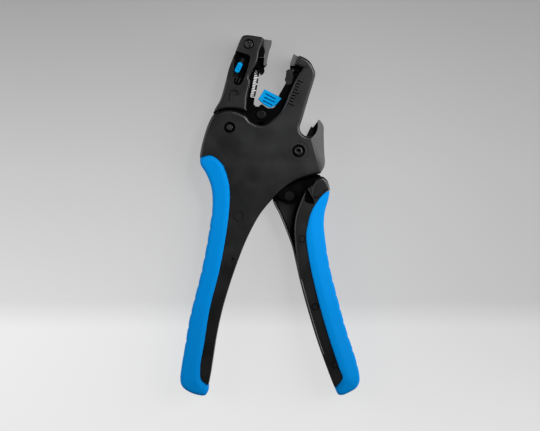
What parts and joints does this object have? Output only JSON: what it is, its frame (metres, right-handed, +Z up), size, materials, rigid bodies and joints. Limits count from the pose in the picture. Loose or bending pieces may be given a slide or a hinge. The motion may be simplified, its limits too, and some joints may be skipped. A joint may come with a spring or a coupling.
{
  "type": "self-adjusting wire stripper",
  "caption": "Pliers-style self-adjusting wire stripper with clamping jaws, blade arms, sliding length stop, side cutter and soft grips.",
  "frame": {"origin": "centre of the tool's outline on the plane it lies on", "axes": "+Y towards the jaws, +X from the fixed handle to the moving handle, +Z up out of the face"},
  "size_m": [0.0948, 0.1902, 0.02],
  "materials": {
    "black_nylon": "glass-filled nylon, fine matt grain",
    "blue_soft_grip": "soft moulded grip, satin",
    "blue_nylon": "moulded, satin",
    "grey_insert": "grey moulded clamping insert",
    "bright_steel": "bright steel",
    "black_steel": "blackened steel",
    "blade_steel": "ground blade steel"
  },
  "bodies": {
    "body": {"body_shell_front": "black_nylon", "body_shell_rear": "black_nylon", "fixed_grip_front": "blue_soft_grip", "fixed_grip_rear": "blue_soft_grip", "main_pivot_bolt": "black_steel", "main_pivot_nut": "black_steel", "jaw_pivot_pin": "black_steel", "right_insert": "grey_insert", "fixed_cutter_blade": "blade_steel", "return_spring": "bright_steel"},
    "handle": {"handle_lever": "black_nylon", "handle_cover_front": "black_nylon", "handle_cover_rear": "black_nylon", "moving_grip_front": "blue_soft_grip", "moving_grip_rear": "blue_soft_grip", "moving_cutter_blade": "blade_steel", "cutter_rivet_1": "bright_steel", "cutter_rivet_2": "bright_steel", "link_pin": "black_steel"},
    "push_link": {"push_link_front": "black_steel", "push_link_rear": "black_steel"},
    "draw_lever": {"draw_lever": "black_steel", "arm_pin": "black_steel", "tail_pin": "black_steel"},
    "left_jaw": {"left_jaw_front": "black_nylon", "left_jaw_rear": "black_nylon", "jaw_screw": "black_steel", "jaw_nut": "bright_steel", "left_insert": "grey_insert"},
    "adjuster": {"adjuster_knob": "blue_nylon"},
    "left_arm": {"left_arm": "black_steel", "left_cassette": "black_nylon", "left_blade": "blade_steel"},
    "right_arm": {"right_arm": "black_steel", "right_cassette": "black_nylon", "right_blade": "blade_steel"},
    "length_stop": {"length_stop": "blue_nylon"}
  },
  "joints": [
    {"name": "handle_pivot", "type": "hinge", "parent": "body", "child": "handle", "pos_m": [0.01504, 0.03397, 0.01], "axis": [0, 0, -1], "range_deg": [0, 24], "stiffness_Nm_per_rad": 0.6, "springref_deg": -14.32},
    {"name": "left_jaw_pivot", "type": "hinge", "parent": "body", "child": "left_jaw", "pos_m": [-0.02125, 0.04637, 0.01], "axis": [0, 0, -1], "range_deg": [0, 15.01]},
    {"name": "draw_lever_pivot", "type": "hinge", "parent": "body", "child": "draw_lever", "pos_m": [-0.02125, 0.04637, 0.01], "axis": [0, 0, -1], "range_deg": [0, 31.01]},
    {"name": "left_arm_pivot", "type": "hinge", "parent": "draw_lever", "child": "left_arm", "pos_m": [-0.00466, 0.05327, 0.01], "axis": [0, 0, -1], "range_deg": [-17.21, 0]},
    {"name": "right_arm_pivot", "type": "hinge", "parent": "draw_lever", "child": "right_arm", "pos_m": [-0.00466, 0.05327, 0.01], "axis": [0, 0, -1], "range_deg": [-39.21, 0]},
    {"name": "push_link_pivot", "type": "hinge", "parent": "handle", "child": "push_link", "pos_m": [0.01005, 0.01027, 0.01], "axis": [0, 0, -1], "range_deg": [-31.04, 0]},
    {"name": "adjuster_slide", "type": "slide", "parent": "left_jaw", "child": "adjuster", "axis": [0.4226, 0.9063, 0], "range_m": [-0.0035, 0.0035]},
    {"name": "length_stop_slide", "type": "slide", "parent": "right_arm", "child": "length_stop", "axis": [0.4699, 0.8827, 0], "range_m": [0, 0.006]}
  ],
  "couplings": [
    {"joint": "left_jaw_pivot", "follows": "handle_pivot", "ratio": 0.625},
    {"joint": "draw_lever_pivot", "follows": "handle_pivot", "ratio": 1.2917},
    {"joint": "left_arm_pivot", "follows": "handle_pivot", "ratio": -0.71667},
    {"joint": "right_arm_pivot", "follows": "handle_pivot", "ratio": -1.6333},
    {"joint": "push_link_pivot", "follows": "handle_pivot", "ratio": -1.2929}
  ]
}
